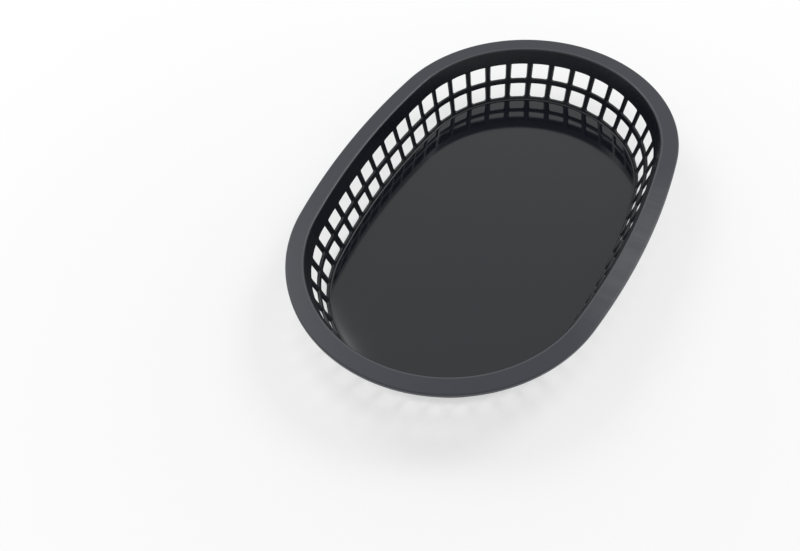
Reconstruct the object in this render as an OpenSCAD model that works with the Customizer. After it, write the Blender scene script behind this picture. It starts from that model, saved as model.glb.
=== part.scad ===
// Oval food basket tray, moulded in one piece of black plastic.
//
// A flat floor, a sloping wall with two rows of nearly square windows, and a
// broad rim with a short turned-down lip. All sizes are in millimetres.
// The origin is at the centre of the underside, +X runs along the length and
// +Z points up out of the tray.

/* [Outline] */
// Overall length over the rim
tray_length = 266.7; // [230:0.1:310]
// Overall width over the rim
tray_width = 177; // [150:0.1:205]
// Radius of the bowed long sides, at the outer edge of the rim
side_radius = 405; // [320:5:800]

/* [Floor] */
// Thickness of the floor
floor_thickness = 1.6; // [1.2:0.1:3]
// Fillet between the floor and the inside of the wall
floor_fillet = 1.2; // [0.5:0.1:1.5]
// Rounding of the outside bottom edge
base_round = 1; // [0.4:0.1:1.2]
// Height of the foot ring that the tray stands on
foot_height = 0.6; // [0.3:0.1:1.5]
// Width of the foot ring
foot_width = 3.5; // [2:0.1:6]
// Diameter of the gate mark under the floor
gate_diameter = 5; // [3:0.5:8]
// Height of the gate mark, less than the foot ring
gate_height = 0.25; // [0.1:0.05:0.3]

/* [Wall] */
// Depth inside, from the rim's inner edge to the floor
inside_depth = 33.3; // [27:0.1:42]
// Thickness of the wall, square to its surface
wall_thickness = 1.4; // [1.2:0.1:2.2]
// Lean of the wall from upright
wall_draft = 15; // [8:0.1:18]

/* [Rim] */
// Width of the rim's top face
rim_width = 9.7; // [7:0.1:14]
// Thickness of the rim
rim_thickness = 1.5; // [1.2:0.1:2.4]
// Rise of the rim from its inner edge to its outer edge
rim_rise = 0.3; // [0:0.1:1.5]
// Rounding where the rim turns down into the wall
rim_round = 1.1; // [0.5:0.1:1.5]
// How far the lip hangs below the rim's underside
lip_drop = 0.7; // [0.6:0.1:4]
// Thickness of the lip
lip_thickness = 1.4; // [1.2:0.1:2.2]
// Rounding of the lip's top edge
lip_round = 0.8; // [0.3:0.1:1.1]
// Rounding of the lip's lower edge
lip_end_round = 0.4; // [0.2:0.05:0.5]
// Fillet between the rim's underside and the wall
under_fillet = 0.8; // [0.4:0.1:1.5]

/* [Windows] */
// Windows in each row
window_count = 48; // [32:4:56]
// Solid band between the rim's inner edge and the upper row
band_height = 9.5; // [5:0.1:11]
// Height of the bar between the two rows
bar_height = 3; // [1.6:0.1:4]
// Height of the sill between the floor and the lower row
sill_height = 1.6; // [0.8:0.1:3]
// How much taller the upper windows are than the lower ones
row_difference = 0.4; // [0:0.1:3]
// Width of the upright ribs at the outside of the wall
rib_width = 4; // [2.4:0.1:4.5]
// Width of the upright ribs at the inside of the wall
rib_crest = 2; // [0.8:0.1:2.3]
// Corner radius of the windows
corner_radius = 0.9; // [0.6:0.1:2]
// Corner radius of the lower windows' bottom corners
low_corner_radius = 1.5; // [0.6:0.1:2.8]

/* [Hidden] */

half_length = tray_length / 2;
half_width = tray_width / 2;

// The outline is an oval of four arcs that meet smoothly: two end arcs about
// (+-end_centre, 0) and two side arcs about (0, -+side_centre).
end_radius = (2 * side_radius * half_width - pow(half_width, 2) - pow(half_length, 2))
    / (2 * (side_radius - half_length));
end_centre = half_length - end_radius;
side_centre = side_radius - half_width;
end_half_angle = atan2(side_centre, end_centre);
side_half_angle = 90 - end_half_angle;

// Heights above the surface that the tray stands on
floor_bottom = foot_height;
floor_top = floor_bottom + floor_thickness;
rim_inner = floor_top + inside_depth;
rim_outer = rim_inner + rim_rise;
rim_under = rim_inner - rim_thickness;
lip_bottom = rim_under - lip_drop;

// Windows: the two rows share the height that the band, bar and sill leave
rows_height = inside_depth - band_height - bar_height - sill_height;
lower_height = (rows_height - row_difference) / 2;
upper_height = lower_height + row_difference;
lower_bottom = floor_top + sill_height;
upper_bottom = lower_bottom + lower_height + bar_height;

// Distances inward from the outer edge of the rim
wall_across = wall_thickness / cos(wall_draft);
function inside_at(z) = rim_width + (rim_inner - z) * tan(wall_draft);
function outside_at(z) = inside_at(z) - wall_across;

// Flat steps in a rounded corner of a profile
arc_steps = 5;

// Directions in which pairs of flats close a window: its sides at 0, its head
// and sill at 90, and the flats that round its corners in between
flat_step = 30;
arc_fine = 360;
gate_fine = 48;

// How far a cut runs on past the surface that it opens
cut_margin = 0.8;

// How many times its own length a profile's last step runs on, where another
// surface ends it
run_on = 1.5;

tray_colour = [0.07, 0.07, 0.08];

// The end arcs stand back from the side arcs by this little, and the side arcs
// run on past the place where they meet, so that their surfaces never cross
join_step = 0.01;
join_run = 1.2;

// Points of a corner rounded by an arc of radius r, drawn in flat steps
function rounded_corner(before, corner, after, r) =
    let (
        u = (before - corner) / norm(before - corner),
        v = (after - corner) / norm(after - corner),
        half = acos(u * v) / 2,
        reach = r / tan(half),
        centre = corner + (u + v) / norm(u + v) * r / sin(half),
        from = corner + u * reach - centre,
        turn = sign(u[0] * v[1] - u[1] * v[0]) * -(180 - 2 * half)
    )
    [for (i = [0 : arc_steps])
        let (a = turn * i / arc_steps)
        centre + [from[0] * cos(a) - from[1] * sin(a), from[0] * sin(a) + from[1] * cos(a)]];

// Point past b on the line from a through b
function past(a, b) = b + (b - a) * run_on;

// A profile is a list of [distance in from the rim's outer edge, height], from
// the bottom up. This turns the space between an arc's centre and the profile.
module turned(profile, radius) {
    rotate_extrude($fn = arc_fine)
        polygon([
            [0, profile[0][1]],
            for (p = profile) [radius - p[0], p[1]],
            [0, profile[len(profile) - 1][1]]
        ]);
}

// The part of the plan between the end arcs. The arcs meet on lines that run
// through the centres of both, and this zone runs on a little past them.
module middle_zone(low, high) {
    near = end_centre + join_run;
    far = near + end_centre;
    translate([0, 0, low])
        linear_extrude(height = high - low)
            polygon([
                [near, 0],
                [far, side_centre],
                [-far, side_centre],
                [-near, 0],
                [-far, -side_centre],
                [far, -side_centre]
            ]);
}

// Solid oval whose side follows a profile all the way round the four arcs
module oval(profile) {
    translate([end_centre, 0, 0]) turned(profile, end_radius - join_step);
    translate([-end_centre, 0, 0]) turned(profile, end_radius - join_step);
    intersection() {
        translate([0, -side_centre, 0]) turned(profile, side_radius);
        translate([0, side_centre, 0]) turned(profile, side_radius);
        middle_zone(profile[0][1] - cut_margin, profile[len(profile) - 1][1] + cut_margin);
    }
}

// Outside of the rim: rounded under the lip and over its top edge
function rim_profile() =
    let (
        foot = rounded_corner(
            [lip_thickness, lip_bottom], [0, lip_bottom], [0, rim_outer], lip_end_round),
        top = rounded_corner([0, lip_bottom], [0, rim_outer], [rim_width, rim_inner], lip_round)
    )
    concat(foot, [for (i = [0 : arc_steps - 1]) top[i]], [past(top[arc_steps - 1], top[arc_steps])]);

// Hollow behind the lip, up to the underside of the rim
function hollow_profile() =
    let (
        foot = rounded_corner(
            [0, lip_bottom], [lip_thickness, lip_bottom], [lip_thickness, rim_under], lip_end_round)
    )
    concat(
        [past(foot[1], foot[0])],
        [for (i = [1 : arc_steps]) foot[i]],
        [[lip_thickness, rim_under]]
    );

// Outside of the wall: rounded at its foot, flaring out where it joins the rim
function wall_profile() =
    let (
        foot = rounded_corner(
            [outside_at(0) + foot_width, 0], [outside_at(0), 0],
            [outside_at(rim_under), rim_under], base_round),
        head = rounded_corner(
            [outside_at(0), 0], [outside_at(rim_under), rim_under],
            [lip_thickness, rim_under], under_fillet)
    )
    concat(foot, [for (i = [0 : arc_steps - 1]) head[i]], [past(head[arc_steps - 1], head[arc_steps])]);

// Inside of the tray: the floor fillet, the wall, the rounded turn into the
// rim, and the rim's top face carried on past its outer edge
function inside_profile() =
    let (
        foot = rounded_corner(
            [half_width, floor_top], [inside_at(floor_top), floor_top],
            [inside_at(rim_inner), rim_inner], floor_fillet),
        head = rounded_corner(
            [inside_at(floor_top), floor_top], [inside_at(rim_inner), rim_inner],
            [0, rim_outer], rim_round)
    )
    concat(foot, head, [[-rim_width, rim_outer + rim_rise], [-rim_width, rim_outer + rim_width]]);

// The recess under the floor, inside the foot ring, whose inner side leans by
// 45 degrees
function recess_profile() =
    let (edge = outside_at(0) + foot_width)
    [[edge - foot_height, -foot_height], [edge + foot_height, foot_height]];

// The tray without its windows
module shell() {
    difference() {
        union() {
            difference() {
                oval(rim_profile());
                oval(hollow_profile());
            }
            oval(wall_profile());
        }
        oval(inside_profile());
        oval(recess_profile());
    }
    translate([0, 0, floor_bottom - gate_height])
        cylinder(d = gate_diameter, h = gate_height + floor_thickness / 2, $fn = gate_fine);
}

// Arc lengths of a quarter outline at a distance inward, first the end arc
function end_arc(inward) = (end_radius - inward) * end_half_angle * PI / 180;
function side_arc(inward) = (side_radius - inward) * side_half_angle * PI / 180;
function perimeter(inward) = 4 * (end_arc(inward) + side_arc(inward));

// Place on the first quarter of the outline at an arc length from the +X end:
// [x, y, direction of the outward normal]
function quarter_place(inward, along) =
    let (on_end = along <= end_arc(inward))
    let (a = on_end ? along / (end_radius - inward) * 180 / PI
        : end_half_angle + (along - end_arc(inward)) / (side_radius - inward) * 180 / PI)
    on_end
    ? [end_centre + (end_radius - inward) * cos(a), (end_radius - inward) * sin(a), a]
    : [(side_radius - inward) * cos(a), (side_radius - inward) * sin(a) - side_centre, a];

// Distance from the middle of a rounded rectangle to its tangent that faces the
// direction a, where 0 is sideways and 90 is up
function tangent_at(a, half_across, half_up, r) =
    (half_across - r) * abs(cos(a)) + (half_up - r) * abs(sin(a)) + r;

// The space between two flats that face the directions a and a + 180. It is
// drawn with depth through the wall along X, and the flats lean so that the
// window is narrower at the outside of the wall and its sill stays level.
module between_flats(a, inner_half, outer_half, half_up, forward_radius, back_radius) {
    reach = wall_thickness + 2 * cut_margin;
    closing = (inner_half - outer_half) / wall_thickness * abs(cos(a));
    rise = tan(wall_draft) * sin(a);
    forward = tangent_at(a, inner_half, half_up, forward_radius);
    back = tangent_at(a, inner_half, half_up, back_radius);
    rotate([a, 0, 0])
        linear_extrude(height = 4 * (inner_half + half_up), center = true)
            polygon([
                [-cut_margin, -back - cut_margin * (closing + rise)],
                [reach, -back + reach * (closing + rise)],
                [reach, forward - reach * (closing - rise)],
                [-cut_margin, forward + cut_margin * (closing - rise)]
            ]);
}

// Window number i of a row on the first quarter, between two heights. The
// windows are spread evenly along the wall at every height, so the ribs lean
// a little where the end and side arcs meet.
module window(i, bottom, height, bottom_radius, top_radius) {
    share = (i + 0.5) / window_count;
    low = inside_at(bottom);
    high = inside_at(bottom + height);
    low_place = quarter_place(low, share * perimeter(low));
    high_place = quarter_place(high, share * perimeter(high));
    middle = (low + high) / 2;
    place = quarter_place(middle, share * perimeter(middle));
    facing = place[2];
    run = high_place - low_place;
    lean = atan2(-run[0] * sin(facing) + run[1] * cos(facing), height);
    pitch = perimeter(middle) / window_count;
    inner_half = (pitch - rib_crest) / 2;
    outer_half = (pitch - rib_width) / 2;
    half_up = height / cos(wall_draft) / 2;
    translate([place[0], place[1], bottom + height / 2])
        rotate([0, 0, facing])
            rotate([-lean, wall_draft, 0])
                intersection_for (a = [0 : flat_step : 180 - flat_step])
                    between_flats(a, inner_half, outer_half, half_up, top_radius,
                        a == 0 ? top_radius : bottom_radius);
}

// All windows of a quarter of the wall
module quarter_windows() {
    for (i = [0 : window_count / 4 - 1]) {
        window(i, lower_bottom, lower_height, low_corner_radius, corner_radius);
        window(i, upper_bottom, upper_height, corner_radius, corner_radius);
    }
}

// The whole tray, one moulding
module tray() {
    color(tray_colour)
        difference() {
            shell();
            for (x = [0, 1], y = [0, 1])
                mirror([x, 0, 0])
                    mirror([0, y, 0])
                        quarter_windows();
        }
}

tray();
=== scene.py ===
"""Oval food basket tray in black plastic, with its studio.

All lengths are in metres. The tray stands on the floor at the origin, with its
length along X and its width along Y.
"""
import math

import bmesh
import bpy
import numpy as np
from mathutils import Matrix, Vector


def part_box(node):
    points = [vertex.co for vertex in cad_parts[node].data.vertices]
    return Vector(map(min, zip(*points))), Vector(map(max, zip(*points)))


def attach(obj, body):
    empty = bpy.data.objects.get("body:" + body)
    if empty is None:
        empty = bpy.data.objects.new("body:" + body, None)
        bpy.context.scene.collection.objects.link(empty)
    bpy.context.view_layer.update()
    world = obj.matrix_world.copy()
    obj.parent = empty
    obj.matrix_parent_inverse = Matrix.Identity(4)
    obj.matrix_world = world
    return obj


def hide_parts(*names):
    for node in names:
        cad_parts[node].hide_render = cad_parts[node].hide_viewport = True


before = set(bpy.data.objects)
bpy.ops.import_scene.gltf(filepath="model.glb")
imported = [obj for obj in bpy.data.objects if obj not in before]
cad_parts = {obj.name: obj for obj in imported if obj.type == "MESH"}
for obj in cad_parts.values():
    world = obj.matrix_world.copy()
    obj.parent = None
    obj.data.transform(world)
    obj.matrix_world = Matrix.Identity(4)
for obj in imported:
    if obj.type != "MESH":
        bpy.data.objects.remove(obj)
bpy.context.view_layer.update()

# Plan of the tray
# The mould parts along the rim's outer edge, an oval of two end arcs and two
# bowed sides. Every line round the tray runs at a fixed distance in from it.
corner_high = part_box("tray")[1]
half_length = corner_high.x
half_width = corner_high.y
side_radius = 0.405
end_radius = (2 * side_radius * half_width - half_width**2 - half_length**2) / (
    2 * (side_radius - half_length)
)
end_centre = half_length - end_radius
side_centre = side_radius - half_width
end_angle = math.atan2(side_centre, end_centre)
side_angle = math.pi / 2 - end_angle


def way_round(inward):
    """Length of the oval line at a distance inward: four times an end arc and a side arc.

    Each arc is its radius, less that distance, times its angle.
    """
    return 4 * ((end_radius - inward) * end_angle + (side_radius - inward) * side_angle)


def oval_place(share, inward):
    """Plan position at a share of the way round, starting from the +X end.

    The share is folded into one quarter, where the line is first an arc about the
    end's centre and then an arc about the side's centre, and is mirrored back.
    """
    share, inward = np.broadcast_arrays(np.mod(share, 1.0), inward)
    quarter = np.floor(share * 4).astype(int) % 4
    part = share * 4 - np.floor(share * 4)
    part = np.where(quarter % 2 == 1, 1 - part, part)
    end_r = end_radius - inward
    side_r = side_radius - inward
    end_arc = end_r * end_angle
    along = part * (end_arc + side_r * side_angle)
    on_end = along <= end_arc
    angle = np.where(on_end, along / end_r, end_angle + (along - end_arc) / side_r)
    x = np.where(on_end, end_centre + end_r * np.cos(angle), side_r * np.cos(angle))
    y = np.where(on_end, end_r * np.sin(angle), side_r * np.sin(angle) - side_centre)
    x = x * np.where((quarter == 1) | (quarter == 2), -1, 1)
    y = y * np.where(quarter >= 2, -1, 1)
    return x, y


# Wall
# A thin wall, moulded in one with the floor, stands on its edge and leans outwards
# up to the rim, so that it leaves the mould.
foot_height = 0.0006
floor_thickness = 0.0016
inside_depth = 0.0333
wall_thickness = 0.0014
wall_draft = math.radians(15)
rim_width = 0.0097

floor_top = foot_height + floor_thickness
rim_inner = floor_top + inside_depth


def inside_at(height):
    """How far in the wall's inner face is at a height: the rim's width and the lean."""
    return rim_width + (rim_inner - height) * math.tan(wall_draft)


def outside_at(height):
    """How far in the wall's outer face is at a height: a wall's thickness less."""
    return inside_at(height) - wall_thickness / math.cos(wall_draft)


# Windows
# Blocks in the mould leave two rows of 48 windows. Each narrows towards the
# outside, so the upright ribs between them are thin inside and broad outside.
window_count = 48
band_height = 0.0095
bar_height = 0.003
sill_height = 0.0016
row_difference = 0.0004
rib_width = 0.004
rib_crest = 0.002
corner_radius = 0.0009
low_corner_radius = 0.0015
inner_edge_round = 0.00025
outer_edge_round = 0.00025
margin_inside = 0.0003
margin_outside = 0.0006
corner_steps = 3
straight_steps = 4
edge_steps = 5
corner_share = 0.12

rows_height = inside_depth - band_height - bar_height - sill_height
lower_height = (rows_height - row_difference) / 2
upper_height = lower_height + row_difference
lower_bottom = floor_top + sill_height
upper_bottom = lower_bottom + lower_height + bar_height
bar_middle = upper_bottom - bar_height / 2
upper_top = upper_bottom + upper_height

# Places along one side of a window's cell, closer together near its corners
side_shares = np.concatenate([
    np.linspace(0, corner_share, corner_steps + 1),
    np.linspace(corner_share, 1 - corner_share, straight_steps + 1)[1:],
    np.linspace(1 - corner_share, 1, corner_steps + 1)[1:],
])


def rounded_path(corners, rounds, steps):
    """Points along straight lines through the corners, with every inner corner rounded.

    Each arc touches both lines that meet at its corner. Its centre lies on their
    bisector, and its points turn evenly from one touching point to the other.
    Corners may be stacked: the last two axes are corner and coordinate.
    """
    parts = [corners[..., :1, :]]
    for k, (radius, count) in enumerate(zip(rounds, steps), start=1):
        corner = corners[..., k, :]
        back = corners[..., k - 1, :] - corner
        ahead = corners[..., k + 1, :] - corner
        back = back / np.linalg.norm(back, axis=-1, keepdims=True)
        ahead = ahead / np.linalg.norm(ahead, axis=-1, keepdims=True)
        half = np.arccos(np.sum(back * ahead, axis=-1, keepdims=True)) / 2
        middle = (back + ahead) / np.linalg.norm(back + ahead, axis=-1, keepdims=True)
        centre = corner + middle * radius / np.sin(half)
        first = corner + back * radius / np.tan(half) - centre
        last = corner + ahead * radius / np.tan(half) - centre
        turn = (math.pi - 2 * half)[..., None, :]
        t = np.linspace(0, 1, count + 1)[:, None]
        arc = np.sin((1 - t) * turn) * first[..., None, :] + np.sin(t * turn) * last[..., None, :]
        parts.append(centre[..., None, :] + arc / np.sin(turn))
    parts.append(corners[..., -1:, :])
    return np.concatenate(parts, axis=-2)


def cell_outline(low, high):
    """The window's share of the wall: a rectangle one pitch wide, from low to high.

    Its points run along the bottom, up, back along the top and down.
    """
    across = side_shares[:-1] - 0.5
    up = low + (high - low) * side_shares[:-1]
    return np.concatenate([
        np.stack([across, np.full_like(across, low)], -1),
        np.stack([np.full_like(up, 0.5), up], -1),
        np.stack([-across, np.full_like(across, high)], -1),
        np.stack([np.full_like(up, -0.5), low + high - up], -1),
    ])


def hole_outline(half_across, half_up, low_radius, high_radius):
    """A rounded rectangle, from the middle of its lower left corner, in the same order.

    Each side is half a corner's arc, a straight stretch and half the next arc.
    """
    sides = []
    for turn, before, after in (
        (0, low_radius, low_radius),
        (1, low_radius, high_radius),
        (2, high_radius, high_radius),
        (3, high_radius, low_radius),
    ):
        along, out = (half_across, half_up) if turn % 2 == 0 else (half_up, half_across)
        opening = np.linspace(math.pi / 4, 0, corner_steps + 1)
        start_x = -(along - before) - before * np.sin(opening)
        start_y = -(out - before) - before * np.cos(opening)
        end_x = (along - after) + after * np.sin(opening[::-1])
        end_y = -(out - after) - after * np.cos(opening[::-1])
        straight = np.linspace(start_x[-1], end_x[0], straight_steps + 1)[1:-1]
        side_x = np.concatenate([start_x, straight, end_x[:-1]])
        side_y = np.concatenate([start_y, np.full_like(straight, -out), end_y[:-1]])
        quarter = turn * math.pi / 2
        sides.append(np.stack([
            side_x * math.cos(quarter) - side_y * math.sin(quarter),
            side_x * math.sin(quarter) + side_y * math.cos(quarter),
        ], -1))
    return np.concatenate(sides)


def window_sheets(bottom, height, low_radius, cell_inside, cell_outside):
    """Every window of a row, as an array of windows, points round, rings and xyz.

    A ring runs round the cell on the wall's inner face, rings round the hole's
    rounded inner and outer edges, and the last round the cell on the outer face.
    """
    middle = bottom + height / 2
    pitch = way_round(inside_at(middle)) / window_count
    inner = hole_outline((pitch - rib_crest) / 2, height / 2, low_radius, corner_radius)
    outer = hole_outline((pitch - rib_width) / 2, height / 2, low_radius, corner_radius)
    cell_in = cell_outline(*cell_inside)
    cell_out = cell_outline(*cell_outside)

    def on_face(across, up, face):
        """Across, inward and up, for a point on the wall's inner or outer face."""
        return np.stack([across, face(up), up], -1)

    pitch_in = way_round(inside_at(cell_in[:, 1])) / window_count
    pitch_out = way_round(outside_at(cell_out[:, 1])) / window_count
    corners = np.stack([
        on_face(cell_in[:, 0] * pitch_in, cell_in[:, 1], inside_at),
        on_face(inner[:, 0], middle + inner[:, 1], inside_at),
        on_face(outer[:, 0], middle + outer[:, 1], outside_at),
        on_face(cell_out[:, 0] * pitch_out, cell_out[:, 1], outside_at),
    ], 1)
    path = rounded_path(corners, (inner_edge_round, outer_edge_round), (edge_steps, edge_steps))
    across, inward, up = path[..., 0], path[..., 1], path[..., 2]
    share = (np.arange(window_count)[:, None, None] + 0.5) / window_count
    x, y = oval_place(share + across / way_round(inward), inward)
    return np.stack([x, y, np.broadcast_to(up, x.shape)], -1)


lower_windows = window_sheets(
    lower_bottom, lower_height, low_corner_radius,
    (lower_bottom - margin_inside, bar_middle),
    (lower_bottom - margin_outside, bar_middle),
)
upper_windows = window_sheets(
    upper_bottom, upper_height, corner_radius,
    (bar_middle, upper_top + margin_outside),
    (bar_middle, upper_top + margin_outside),
)

# Rim, band and lip
# The solid band over the windows, the rim's broad top, its turned-down lip and
# its underside are all of the same moulding. The rim's top rises a little
# outwards, and a ring of points close to its inner edge ends a painted highlight strip.
rim_thickness = 0.0015
rim_rise = 0.0003
rim_round = 0.0011
lip_drop = 0.0007
lip_thickness = 0.0014
lip_round = 0.0008
lip_end_round = 0.0004
lip_root_round = 0.0004
under_fillet = 0.0008
# Where the painted highlight strip ends, as a share of the way across the rim's top
highlight_strip_share = 0.06
rim_round_steps = 7
lip_round_steps = 6
lip_end_steps = 4
lip_root_steps = 3
under_fillet_steps = 5

rim_outer = rim_inner + rim_rise
rim_under = rim_inner - rim_thickness
lip_bottom = rim_under - lip_drop
round_shares = (np.arange(window_count)[:, None] + side_shares[:-1]).ravel() / window_count


def swept(section):
    """A section of inward distances and heights, carried all the way round the oval.

    Each point of it takes the plan position of every share of the way round, at its
    own inward distance, and keeps its height.
    """
    inward, up = section[:, :1], section[:, 1:]
    x, y = oval_place(round_shares[None, :], inward)
    return np.stack([x, y, np.broadcast_to(up, x.shape)], -1)


band_bottom = upper_top + margin_outside
rim_path = rounded_path(
    np.array([
        (inside_at(band_bottom), band_bottom),
        (rim_width, rim_inner),
        (0, rim_outer),
        (0, lip_bottom),
        (lip_thickness, lip_bottom),
        (lip_thickness, rim_under),
        (outside_at(rim_under), rim_under),
        (outside_at(band_bottom), band_bottom),
    ]),
    (rim_round, lip_round, lip_end_round, lip_end_round, lip_root_round, under_fillet),
    (
        rim_round_steps, lip_round_steps, lip_end_steps,
        lip_end_steps, lip_root_steps, under_fillet_steps,
    ),
)
rim_start = rim_round_steps + 1
rim_across = rim_path[rim_start + 1] - rim_path[rim_start]
highlight_strip_end = rim_path[rim_start] + highlight_strip_share * rim_across
rim_sheet = swept(np.insert(rim_path, rim_start + 1, highlight_strip_end, axis=0))

# Floor and foot
# The floor is polished inside and lies on a foot ring. Underneath, the gate
# where the plastic entered leaves a low disc in the middle. The round between
# floor and wall is finer here than in the CAD solid.
floor_fillet = 0.0007
base_round = 0.001
foot_width = 0.0035
foot_round = 0.00025
gate_radius = 0.0025
gate_height = 0.00025
gate_round = gate_height / 3
flat_border = 0.0015
pole_radius = 0.0008
fillet_steps = 7
base_round_steps = 6
foot_round_steps = 3
gate_round_steps = 3
middle_rings = 4

sill_inside = lower_bottom - margin_inside
sill_outside = lower_bottom - margin_outside
floor_sheet = swept(rounded_path(
    np.array([
        (inside_at(sill_inside), sill_inside),
        (inside_at(floor_top), floor_top),
        (inside_at(floor_top) + flat_border, floor_top),
    ]),
    (floor_fillet,),
    (fillet_steps,),
))
foot_inner = outside_at(0) + foot_width
foot_sheet = swept(rounded_path(
    np.array([
        (outside_at(sill_outside), sill_outside),
        (outside_at(0), 0),
        (foot_inner, 0),
        (foot_inner + foot_height, foot_height),
        (foot_inner + foot_height + flat_border, foot_height),
    ]),
    (base_round, foot_round, foot_round),
    (base_round_steps, foot_round_steps, foot_round_steps),
))


def closed_to_disc(ring, disc_radius, height, rings):
    """Rings from an oval ring to a round one about the middle.

    Each is a mean of the two, whose weight changes in even steps.
    """
    turn = 2 * math.pi * round_shares
    disc = np.stack([
        disc_radius * np.cos(turn),
        disc_radius * np.sin(turn),
        np.full_like(turn, height),
    ], -1)
    t = np.linspace(0, 1, rings + 1)[:, None, None]
    return ring[None] * (1 - t) + disc[None] * t


floor_middle = closed_to_disc(floor_sheet[-1], pole_radius, floor_top, middle_rings)
gate_border = gate_radius + flat_border
under_middle = closed_to_disc(foot_sheet[-1], gate_border, foot_height, middle_rings)
gate_section = rounded_path(
    np.array([
        (gate_border, foot_height),
        (gate_radius, foot_height),
        (gate_radius, foot_height - gate_height),
        (pole_radius, foot_height - gate_height),
    ]),
    (gate_round, gate_round),
    (gate_round_steps, gate_round_steps),
)
gate_turn = 2 * math.pi * round_shares
gate_sheet = np.stack([
    gate_section[:, :1] * np.cos(gate_turn),
    gate_section[:, :1] * np.sin(gate_turn),
    np.broadcast_to(gate_section[:, 1:], (len(gate_section), len(gate_turn))),
], -1)

# Tray mesh
# All the sheets are one skin of one moulding: they are joined where they meet,
# and the two small poles in the middle of the floor are closed. Every point
# carries a number for the finish of its place, from the floor's to the rim's,
# and the points at the rim's inner edge carry the number of a painted highlight.
floor_finish = 0.0
wall_finish = 0.35
fillet_finish = 0.45
outside_finish = 0.5
edge_highlight_finish = 0.8
rim_finish = 1.0
highlight_round_points = 2
merge_distance = 2e-6


def grid_faces(rows, columns):
    """Four-sided faces of a grid of points that closes on itself along its columns."""
    row, column = np.meshgrid(np.arange(rows - 1), np.arange(columns), indexing="ij")
    after = (column + 1) % columns
    faces = np.stack([
        row * columns + column,
        row * columns + after,
        (row + 1) * columns + after,
        (row + 1) * columns + column,
    ], -1)
    return faces.reshape(-1, 4)


points = []
quads = []
satin = []
point_total = 0
highlight_start = rim_start - highlight_round_points
rim_top = rim_start + 1
lip_side = rim_top + lip_round_steps + 2
rim_finishes = np.full(len(rim_sheet), outside_finish)
rim_finishes[:highlight_start] = wall_finish
# The rim's inner edge gets the number of the painted highlight
rim_finishes[highlight_start:rim_top] = edge_highlight_finish
rim_finishes[rim_top:lip_side] = rim_finish
floor_finishes = np.full(len(floor_sheet), fillet_finish)
floor_finishes[0] = wall_finish
floor_finishes[-1] = floor_finish
for sheet, finish in (
    (rim_sheet, rim_finishes),
    (floor_sheet, floor_finishes),
    (floor_middle, np.full(len(floor_middle), floor_finish)),
    (foot_sheet, np.full(len(foot_sheet), outside_finish)),
    (under_middle, np.full(len(under_middle), outside_finish)),
    (gate_sheet, np.full(len(gate_sheet), outside_finish)),
):
    points.append(sheet.reshape(-1, 3))
    quads.append(grid_faces(*sheet.shape[:2]) + point_total)
    satin.append(np.repeat(finish, sheet.shape[1]))
    point_total += sheet.shape[0] * sheet.shape[1]
for windows in (lower_windows, upper_windows):
    rings = np.swapaxes(windows, 1, 2)
    count, ring_total, around = rings.shape[:3]
    one = grid_faces(ring_total, around)
    offsets = np.arange(count)[:, None, None] * ring_total * around
    points.append(rings.reshape(-1, 3))
    quads.append((one[None] + offsets).reshape(-1, 4) + point_total)
    ring_finish = np.full(ring_total, outside_finish)
    ring_finish[: 1 + edge_steps] = wall_finish
    satin.append(np.tile(np.repeat(ring_finish, around), count))
    point_total += count * ring_total * around

tray_mesh = bpy.data.meshes.new("oval_tray")
tray_mesh.from_pydata(np.concatenate(points).tolist(), [], np.concatenate(quads).tolist())
tray_mesh.attributes.new("satin", "FLOAT", "POINT")
tray_mesh.attributes["satin"].data.foreach_set("value", np.concatenate(satin).astype(np.float32))

skin = bmesh.new()
skin.from_mesh(tray_mesh)
bmesh.ops.remove_doubles(skin, verts=skin.verts, dist=merge_distance)
bmesh.ops.holes_fill(skin, edges=[e for e in skin.edges if e.is_boundary], sides=0)
bmesh.ops.recalc_face_normals(skin, faces=skin.faces)
skin.to_mesh(tray_mesh)
skin.free()
tray_mesh.shade_smooth()
tray = bpy.data.objects.new("oval_tray", tray_mesh)
bpy.context.scene.collection.objects.link(tray)
weighted = tray.modifiers.new("even_shading", "WEIGHTED_NORMAL")
weighted.mode = "FACE_AREA"

# Black plastic
# Trays of this kind are moulded in polypropylene, coloured right through. The mould
# is polished for the floor, which mirrors, less so for the wall, and etched for the
# satin rim and outside. The rim's inner edge is painted lighter, as a highlight.
floor_colour = (0.005, 0.0065, 0.011, 1)
# The plastic's colour, taken darker on the wall than on the floor as painted shade on the deep
# wall and ribs
wall_colour_with_shade = (0.0003, 0.0018, 0.006, 1)
outside_colour = (0.008, 0.009, 0.013, 1)
rim_colour = (0.017, 0.019, 0.029, 1)
# Lighter colour along the rim's inner edge: a painted highlight
edge_highlight_colour = (0.054, 0.057, 0.067, 1)
floor_roughness = 0.07
wall_roughness = 0.18
rim_roughness = 0.33
roughness_change = (-0.02, 0.04)
plastic_ior = 1.5
mottle_scale = 45
mottle_detail = 4
grain_scale = 2600
grain_detail = 2
grain_strength = 0.25
grain_depth = 0.00004
sink_scale = 28
sink_detail = 1
sink_strength = 1.0
sink_depth = 0.00008
# A lighter patch on the rim's right side: painted sheen, with faint rubbed streaks
sheen_scuff_middle = (-0.010, -0.083, rim_outer)
sheen_scuff_reach = (0.072, 0.018, 0.018)
sheen_scuff_colour = (0.058, 0.060, 0.069, 1)
sheen_scuff_share = (0.6, 1.0)
sheen_scuff_fade = (1.0, 0.2)
streak_stretch = (220, 40, 40)
streak_scale = 1
streak_detail = 3
streak_contrast = (0.35, 0.65)


def noise(tree, place, scale, detail):
    """Noise over a place: waves of one scale, with finer ones added."""
    node = tree.nodes.new("ShaderNodeTexNoise")
    node.inputs["Scale"].default_value = scale
    node.inputs["Detail"].default_value = detail
    tree.links.new(place, node.inputs["Vector"])
    return node.outputs["Fac"]


def combined(tree, operation, first, second):
    """One value out of two: their sum, their product or the larger of them."""
    node = tree.nodes.new("ShaderNodeMath")
    node.operation = operation
    tree.links.new(first, node.inputs[0])
    tree.links.new(second, node.inputs[1])
    return node.outputs["Value"]


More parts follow.
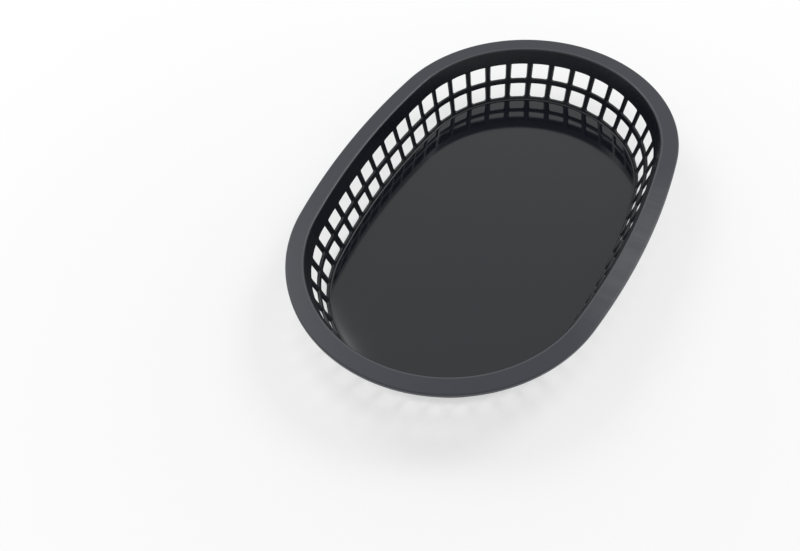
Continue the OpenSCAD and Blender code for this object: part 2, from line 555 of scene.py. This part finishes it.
def mapped(tree, value, start, end, low=0.0, high=1.0, kind="LINEAR"):
    """A value brought to another range, by how far it is on the way from start to end.

    Start becomes low and end becomes high.
    """
    node = tree.nodes.new("ShaderNodeMapRange")
    node.interpolation_type = kind
    node.inputs["From Min"].default_value = start
    node.inputs["From Max"].default_value = end
    node.inputs["To Min"].default_value = low
    node.inputs["To Max"].default_value = high
    tree.links.new(value, node.inputs["Value"])
    return node.outputs["Result"]


def length(tree, place):
    """Distance of a place from the origin: the root of the sum of its squares."""
    node = tree.nodes.new("ShaderNodeVectorMath")
    node.operation = "LENGTH"
    tree.links.new(place, node.inputs[0])
    return node.outputs["Value"]


def stretched(tree, place, scale, shift=(0, 0, 0)):
    """A place times a scale, plus a shift, each along its own axis."""
    node = tree.nodes.new("ShaderNodeMapping")
    node.inputs["Location"].default_value = shift
    node.inputs["Scale"].default_value = scale
    tree.links.new(place, node.inputs["Vector"])
    return node.outputs["Vector"]


def ramp(tree, value, first, last, between):
    """Colours by value, blended evenly from first at 0 through those between to last at 1."""
    node = tree.nodes.new("ShaderNodeValToRGB")
    stops = node.color_ramp.elements
    stops[0].color = first
    stops[1].color = last
    for stop_value, colour in between:
        stops.new(stop_value).color = colour
    tree.links.new(value, node.inputs["Fac"])
    return node.outputs["Color"]


def bump(tree, height, strength, depth):
    """A surface that leans by the slope of a height, times its depth and strength."""
    node = tree.nodes.new("ShaderNodeBump")
    node.inputs["Strength"].default_value = strength
    node.inputs["Distance"].default_value = depth
    tree.links.new(height, node.inputs["Height"])
    return node


def grey(value):
    """A colour with one value for its red, green and blue."""
    return (value, value, value, 1)


plastic = bpy.data.materials.new("black_plastic")
plastic.use_nodes = True
plastic_tree = plastic.node_tree
shader = plastic_tree.nodes["Principled BSDF"]
shader.inputs["IOR"].default_value = plastic_ior
plastic_place = plastic_tree.nodes.new("ShaderNodeTexCoord").outputs["Object"]
finish_mask = plastic_tree.nodes.new("ShaderNodeAttribute")
finish_mask.attribute_name = "satin"
finish_here = finish_mask.outputs["Fac"]

# The colour follows each point's finish number; the number at the rim's inner edge paints a
# highlight there
plain_colour = ramp(plastic_tree, finish_here, floor_colour, rim_colour, (
    (wall_finish, wall_colour_with_shade),
    (outside_finish, outside_colour),
    (edge_highlight_finish, edge_highlight_colour),
))

# A stretch of the rim's right side is painted lighter: a painted sheen, with faint rubbed streaks
# across it
sheen_scuff_place = stretched(
    plastic_tree, plastic_place,
    [1 / reach for reach in sheen_scuff_reach],
    [-middle / reach for middle, reach in zip(sheen_scuff_middle, sheen_scuff_reach)],
)
sheen_scuff_away = length(plastic_tree, sheen_scuff_place)
sheen_scuff_near = mapped(plastic_tree, sheen_scuff_away, *sheen_scuff_fade, kind="SMOOTHSTEP")
on_rim = mapped(plastic_tree, finish_here, outside_finish, rim_finish)
sheen_scuff_on_rim = combined(plastic_tree, "MULTIPLY", sheen_scuff_near, on_rim)
streak_place = stretched(plastic_tree, plastic_place, streak_stretch)
streaks = noise(plastic_tree, streak_place, streak_scale, streak_detail)
streak_share = mapped(plastic_tree, streaks, *streak_contrast, *sheen_scuff_share)
sheen_scuff_here = combined(plastic_tree, "MULTIPLY", sheen_scuff_on_rim, streak_share)
sheen_scuff_mix = plastic_tree.nodes.new("ShaderNodeMixRGB")
sheen_scuff_mix.inputs["Color2"].default_value = sheen_scuff_colour
plastic_tree.links.new(sheen_scuff_here, sheen_scuff_mix.inputs["Fac"])
plastic_tree.links.new(plain_colour, sheen_scuff_mix.inputs["Color1"])
plastic_tree.links.new(sheen_scuff_mix.outputs["Color"], shader.inputs["Base Color"])

plain_roughness = ramp(plastic_tree, finish_here, grey(floor_roughness), grey(rim_roughness), (
    (wall_finish, grey(wall_roughness)),
    (outside_finish, grey(rim_roughness)),
))
mottle = noise(plastic_tree, plastic_place, mottle_scale, mottle_detail)
mottle_change = mapped(plastic_tree, mottle, 0, 1, *roughness_change)
roughness_here = combined(plastic_tree, "ADD", plain_roughness, mottle_change)
plastic_tree.links.new(roughness_here, shader.inputs["Roughness"])

# The etched parts have a fine grain, and the whole surface is slightly uneven
grain = noise(plastic_tree, plastic_place, grain_scale, grain_detail)
grain_height = combined(plastic_tree, "MULTIPLY", grain, finish_here)
grain_bump = bump(plastic_tree, grain_height, grain_strength, grain_depth)
sink = noise(plastic_tree, plastic_place, sink_scale, sink_detail)
sink_bump = bump(plastic_tree, sink, sink_strength, sink_depth)
plastic_tree.links.new(grain_bump.outputs["Normal"], sink_bump.inputs["Normal"])
plastic_tree.links.new(sink_bump.outputs["Normal"], shader.inputs["Normal"])

tray_mesh.materials.append(plastic)
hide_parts("tray")
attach(tray, "root")

# Studio floor
# A wide sheet of matt white board that the tray stands on. Close to the tray it is
# shown half as it is and half plain white, which keeps the tray's soft shadow.
# Far away it is shown plain white.
floor_half = 3.0
shadow_reach = 0.16
white_from = 0.42
white_beside = 0.5
board_colour = (0.97, 0.97, 0.975, 1)
board_roughness = 0.9
board_gloss = 0.1
plain_white = (1, 1, 1, 1)


def seen(tree):
    """1 where the camera, gloss or glass looks, otherwise 0: the largest of the three."""
    ray = tree.nodes.new("ShaderNodeLightPath").outputs
    in_sight = combined(tree, "MAXIMUM", ray["Is Camera Ray"], ray["Is Glossy Ray"])
    return combined(tree, "MAXIMUM", in_sight, ray["Is Transmission Ray"])


def show_mixed(tree, output_node, share, first, second):
    """The output shows the second shader by its share, and the first for the rest."""
    mix = tree.nodes.new("ShaderNodeMixShader")
    tree.links.new(share, mix.inputs["Fac"])
    tree.links.new(first, mix.inputs[1])
    tree.links.new(second, mix.inputs[2])
    tree.links.new(mix.outputs["Shader"], tree.nodes[output_node].inputs["Surface"])


floor_mesh = bpy.data.meshes.new("studio_floor")
floor_mesh.from_pydata(
    [(-floor_half, -floor_half, 0), (floor_half, -floor_half, 0),
     (floor_half, floor_half, 0), (-floor_half, floor_half, 0)],
    [], [(0, 1, 2, 3)],
)
board = bpy.data.materials.new("white_board")
board.use_nodes = True
board_tree = board.node_tree
board_shader = board_tree.nodes["Principled BSDF"]
board_shader.inputs["Base Color"].default_value = board_colour
board_shader.inputs["Roughness"].default_value = board_roughness
board_shader.inputs["Specular IOR Level"].default_value = board_gloss
board_place = board_tree.nodes.new("ShaderNodeTexCoord").outputs["Object"]
board_away = length(board_tree, board_place)
white_share = mapped(
    board_tree, board_away, shadow_reach, white_from, low=white_beside, kind="SMOOTHSTEP"
)
white_seen = combined(board_tree, "MULTIPLY", white_share, seen(board_tree))
board_white = board_tree.nodes.new("ShaderNodeEmission")
board_white.inputs["Color"].default_value = plain_white
board_white.inputs["Strength"].default_value = 1.0
show_mixed(
    board_tree, "Material Output", white_seen,
    board_shader.outputs["BSDF"], board_white.outputs["Emission"],
)
floor_mesh.materials.append(board)
studio_floor = bpy.data.objects.new("studio_floor", floor_mesh)
bpy.context.scene.collection.objects.link(studio_floor)

# Studio light
# A white room gives most of the light. Two soft lamps beyond the tray, one at
# the left and one at the right, give the rim its shape.
room_light_strength = 0.71
room_seen_strength = 1.0


def soft_lamp(name, place, size, power):
    """A square lamp at a place, turned so that it shines at the origin."""
    data = bpy.data.lights.new(name, "AREA")
    data.size = size
    data.energy = power
    lamp = bpy.data.objects.new(name, data)
    lamp.location = place
    lamp.rotation_euler = (-Vector(place)).to_track_quat("-Z", "Y").to_euler()
    bpy.context.scene.collection.objects.link(lamp)


world = bpy.data.worlds.new("white_room")
bpy.context.scene.world = world
world.use_nodes = True
room_tree = world.node_tree
room_light = room_tree.nodes["Background"]
room_light.inputs["Color"].default_value = plain_white
room_light.inputs["Strength"].default_value = room_light_strength
room_seen = room_tree.nodes.new("ShaderNodeBackground")
room_seen.inputs["Color"].default_value = plain_white
room_seen.inputs["Strength"].default_value = room_seen_strength
show_mixed(
    room_tree, "World Output", seen(room_tree),
    room_light.outputs["Background"], room_seen.outputs["Background"],
)
soft_lamp("left_lamp", place=(0.298, 0.917, 1.149), size=0.65, power=3.6)
soft_lamp("right_lamp", place=(0.890, -0.473, 1.125), size=0.5, power=4.3)

# Camera
# It looks down on the tray from beyond its near left end, a little turned, as
# the photograph does.
camera_place = Vector((-0.27453, -0.12329, 0.35452))
camera_target = Vector((-0.05235, 0.02948, 0.0))
camera_roll = math.radians(-6.494)
focal_length = 35.77
sensor_width = 36
nearest_seen = 0.01
camera_data = bpy.data.cameras.new("camera")
camera_data.lens = focal_length
camera_data.sensor_width = sensor_width
camera_data.clip_start = nearest_seen
camera = bpy.data.objects.new("camera", camera_data)
aim = (camera_target - camera_place).to_track_quat("-Z", "Y").to_matrix()
camera.matrix_world = Matrix.Translation(camera_place) @ (
    aim @ Matrix.Rotation(camera_roll, 3, "Z")
).to_4x4()
bpy.context.scene.collection.objects.link(camera)
bpy.context.scene.camera = camera
bpy.context.scene.view_settings.view_transform = "Standard"
